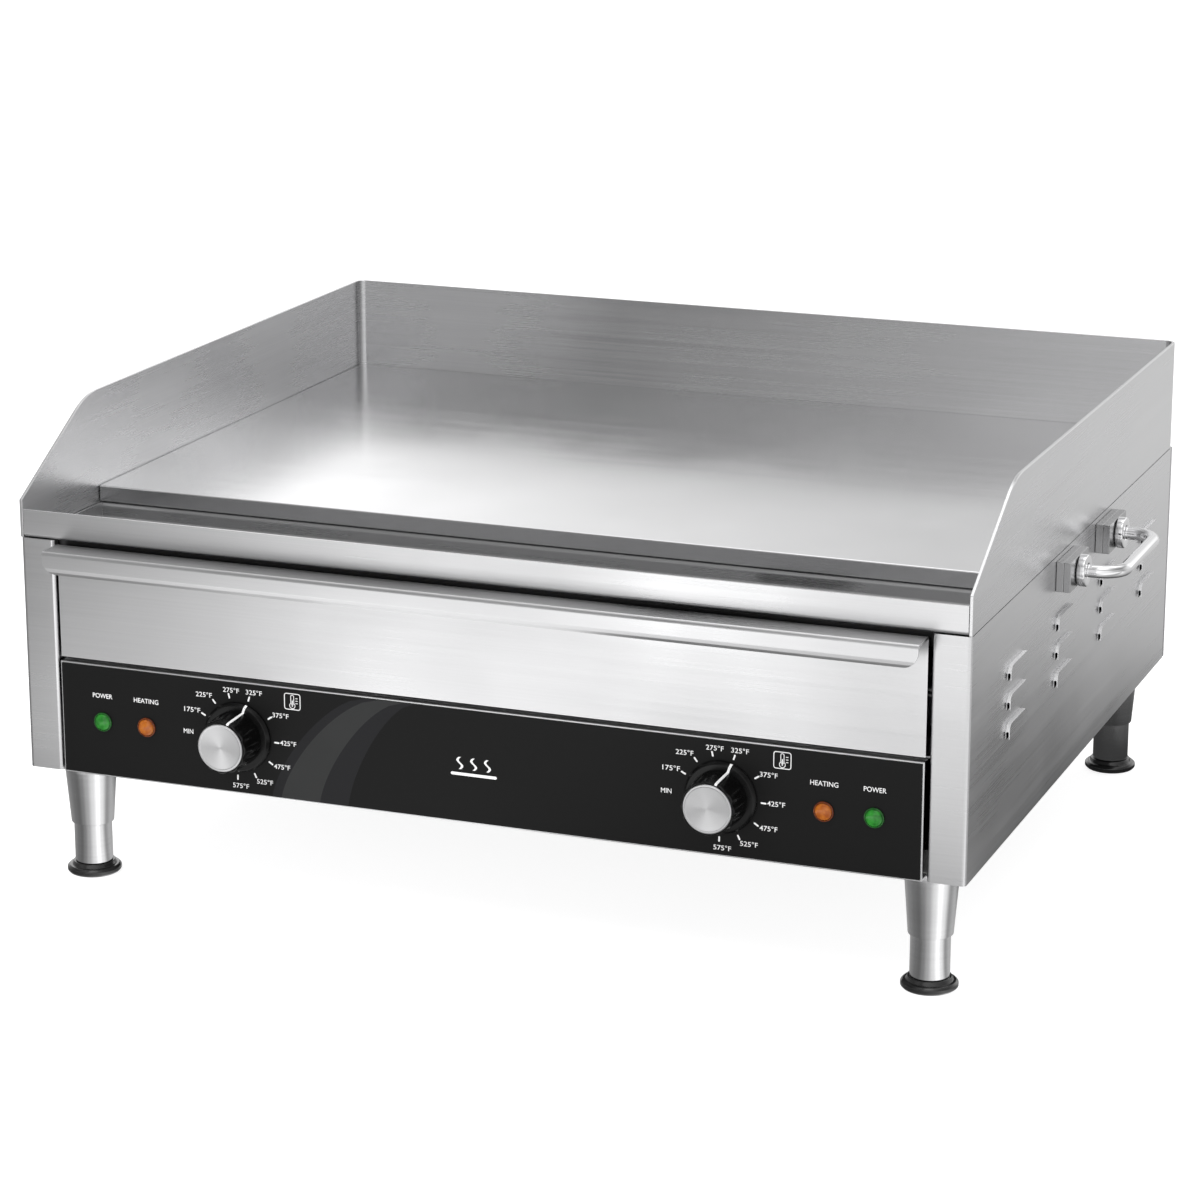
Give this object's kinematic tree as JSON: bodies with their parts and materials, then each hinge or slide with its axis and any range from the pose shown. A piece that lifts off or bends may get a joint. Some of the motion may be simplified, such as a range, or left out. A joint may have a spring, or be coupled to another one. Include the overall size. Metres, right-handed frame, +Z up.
{
  "type": "electric countertop griddle",
  "caption": "Electric countertop griddle with a steel cooking plate in a splash guard, grease trough and drawer, thermostat knobs, side handles and levelling legs.",
  "frame": {"origin": "on the worktop under the middle of the object's overall width and depth", "axes": "+X to the right seen from the front, +Y from the front to the back, +Z up"},
  "size_m": [0.6882, 0.5354, 0.2972],
  "materials": {
    "guard_steel": "fine brushed stainless steel, grain along the sheet",
    "cabinet_steel": "brushed stainless steel, horizontal grain",
    "plate_steel": "machined and polished carbon steel cooking surface",
    "inner_steel": "dull galvanised sheet inside the cabinet",
    "leg_steel": "turned and polished stainless tube",
    "chrome": "bright chrome plating",
    "cap_aluminium": "spun aluminium with a radial sheen",
    "knob_black": "satin black moulded thermoset",
    "overlay_black": "satin black printed polyester film",
    "foot_black": "smooth glossy black rubber",
    "lens_green": "clear green moulded lens",
    "lens_amber": "clear amber moulded lens",
    "gland_black": "black nylon",
    "phenolic": "dark moulded phenolic",
    "ceramic_fibre": "pressed ceramic fibre blanket",
    "element_sheath": "heat-darkened tubular element sheath",
    "copper": "drawn copper tube",
    "cable_sleeve": "woven glass-fibre sleeving"
  },
  "bodies": {
    "cabinet": {"splash_guard": "guard_steel", "griddle_plate": "plate_steel", "grease_trough": "guard_steel", "back_panel": "cabinet_steel", "base_pan": "inner_steel", "drawer_shelf": "inner_steel", "control_panel": "cabinet_steel", "panel_overlay": "overlay_black", "insulation_pad": "ceramic_fibre", "heat_shield": "inner_steel", "cord_gland": "gland_black", "terminal_block": "phenolic", "wiring_loom": "cable_sleeve", "element_leads": "cable_sleeve", "side_panel_left": "cabinet_steel", "drawer_runner_left": "inner_steel", "thermostat_left": "phenolic", "temperature_sensor_left": "copper", "power_lamp_left": "lens_green", "heating_lamp_left": "lens_amber", "heating_element_left": "element_sheath", "element_clamp_left": "inner_steel", "handle_bar_left": "chrome", "handle_bracket_front_left": "cabinet_steel", "handle_collar_front_left": "chrome", "handle_bracket_rear_left": "cabinet_steel", "handle_collar_rear_left": "chrome", "leg_shell_front_left": "leg_steel", "leg_shell_back_left": "leg_steel", "side_panel_right": "cabinet_steel", "drawer_runner_right": "inner_steel", "thermostat_right": "phenolic", "temperature_sensor_right": "copper", "power_lamp_right": "lens_green", "heating_lamp_right": "lens_amber", "heating_element_right": "element_sheath", "element_clamp_right": "inner_steel", "handle_bar_right": "chrome", "handle_bracket_front_right": "cabinet_steel", "handle_collar_front_right": "chrome", "handle_bracket_rear_right": "cabinet_steel", "handle_collar_rear_right": "chrome", "leg_shell_front_right": "leg_steel", "leg_shell_back_right": "leg_steel"},
    "grease_drawer": {"drawer_front": "cabinet_steel", "drawer_tray": "cabinet_steel"},
    "left_knob": {"knob_left": "knob_black", "knob_cap_left": "cap_aluminium", "thermostat_shaft_left": "inner_steel"},
    "right_knob": {"knob_right": "knob_black", "knob_cap_right": "cap_aluminium", "thermostat_shaft_right": "inner_steel"},
    "front_left_foot": {"leg_insert_front_left": "leg_steel", "leg_foot_front_left": "foot_black"},
    "front_right_foot": {"leg_insert_front_right": "leg_steel", "leg_foot_front_right": "foot_black"},
    "back_left_foot": {"leg_insert_back_left": "leg_steel", "leg_foot_back_left": "foot_black"},
    "back_right_foot": {"leg_insert_back_right": "leg_steel", "leg_foot_back_right": "foot_black"}
  },
  "joints": [
    {"name": "drawer_slide", "type": "slide", "parent": "cabinet", "child": "grease_drawer", "axis": [0, -1, 0], "range_m": [0, 0.3]},
    {"name": "left_thermostat_turn", "type": "hinge", "parent": "cabinet", "child": "left_knob", "pos_m": [-0.157, -0.24035, 0.112], "axis": [0, 1, 0], "range_deg": [-109, 164]},
    {"name": "right_thermostat_turn", "type": "hinge", "parent": "cabinet", "child": "right_knob", "pos_m": [0.157, -0.24035, 0.112], "axis": [0, 1, 0], "range_deg": [-109, 164]},
    {"name": "front_left_foot_level", "type": "slide", "parent": "cabinet", "child": "front_left_foot", "axis": [0, 0, -1], "range_m": [0, 0.025]},
    {"name": "front_right_foot_level", "type": "slide", "parent": "cabinet", "child": "front_right_foot", "axis": [0, 0, -1], "range_m": [0, 0.025]},
    {"name": "back_left_foot_level", "type": "slide", "parent": "cabinet", "child": "back_left_foot", "axis": [0, 0, -1], "range_m": [0, 0.025]},
    {"name": "back_right_foot_level", "type": "slide", "parent": "cabinet", "child": "back_right_foot", "axis": [0, 0, -1], "range_m": [0, 0.025]}
  ]
}
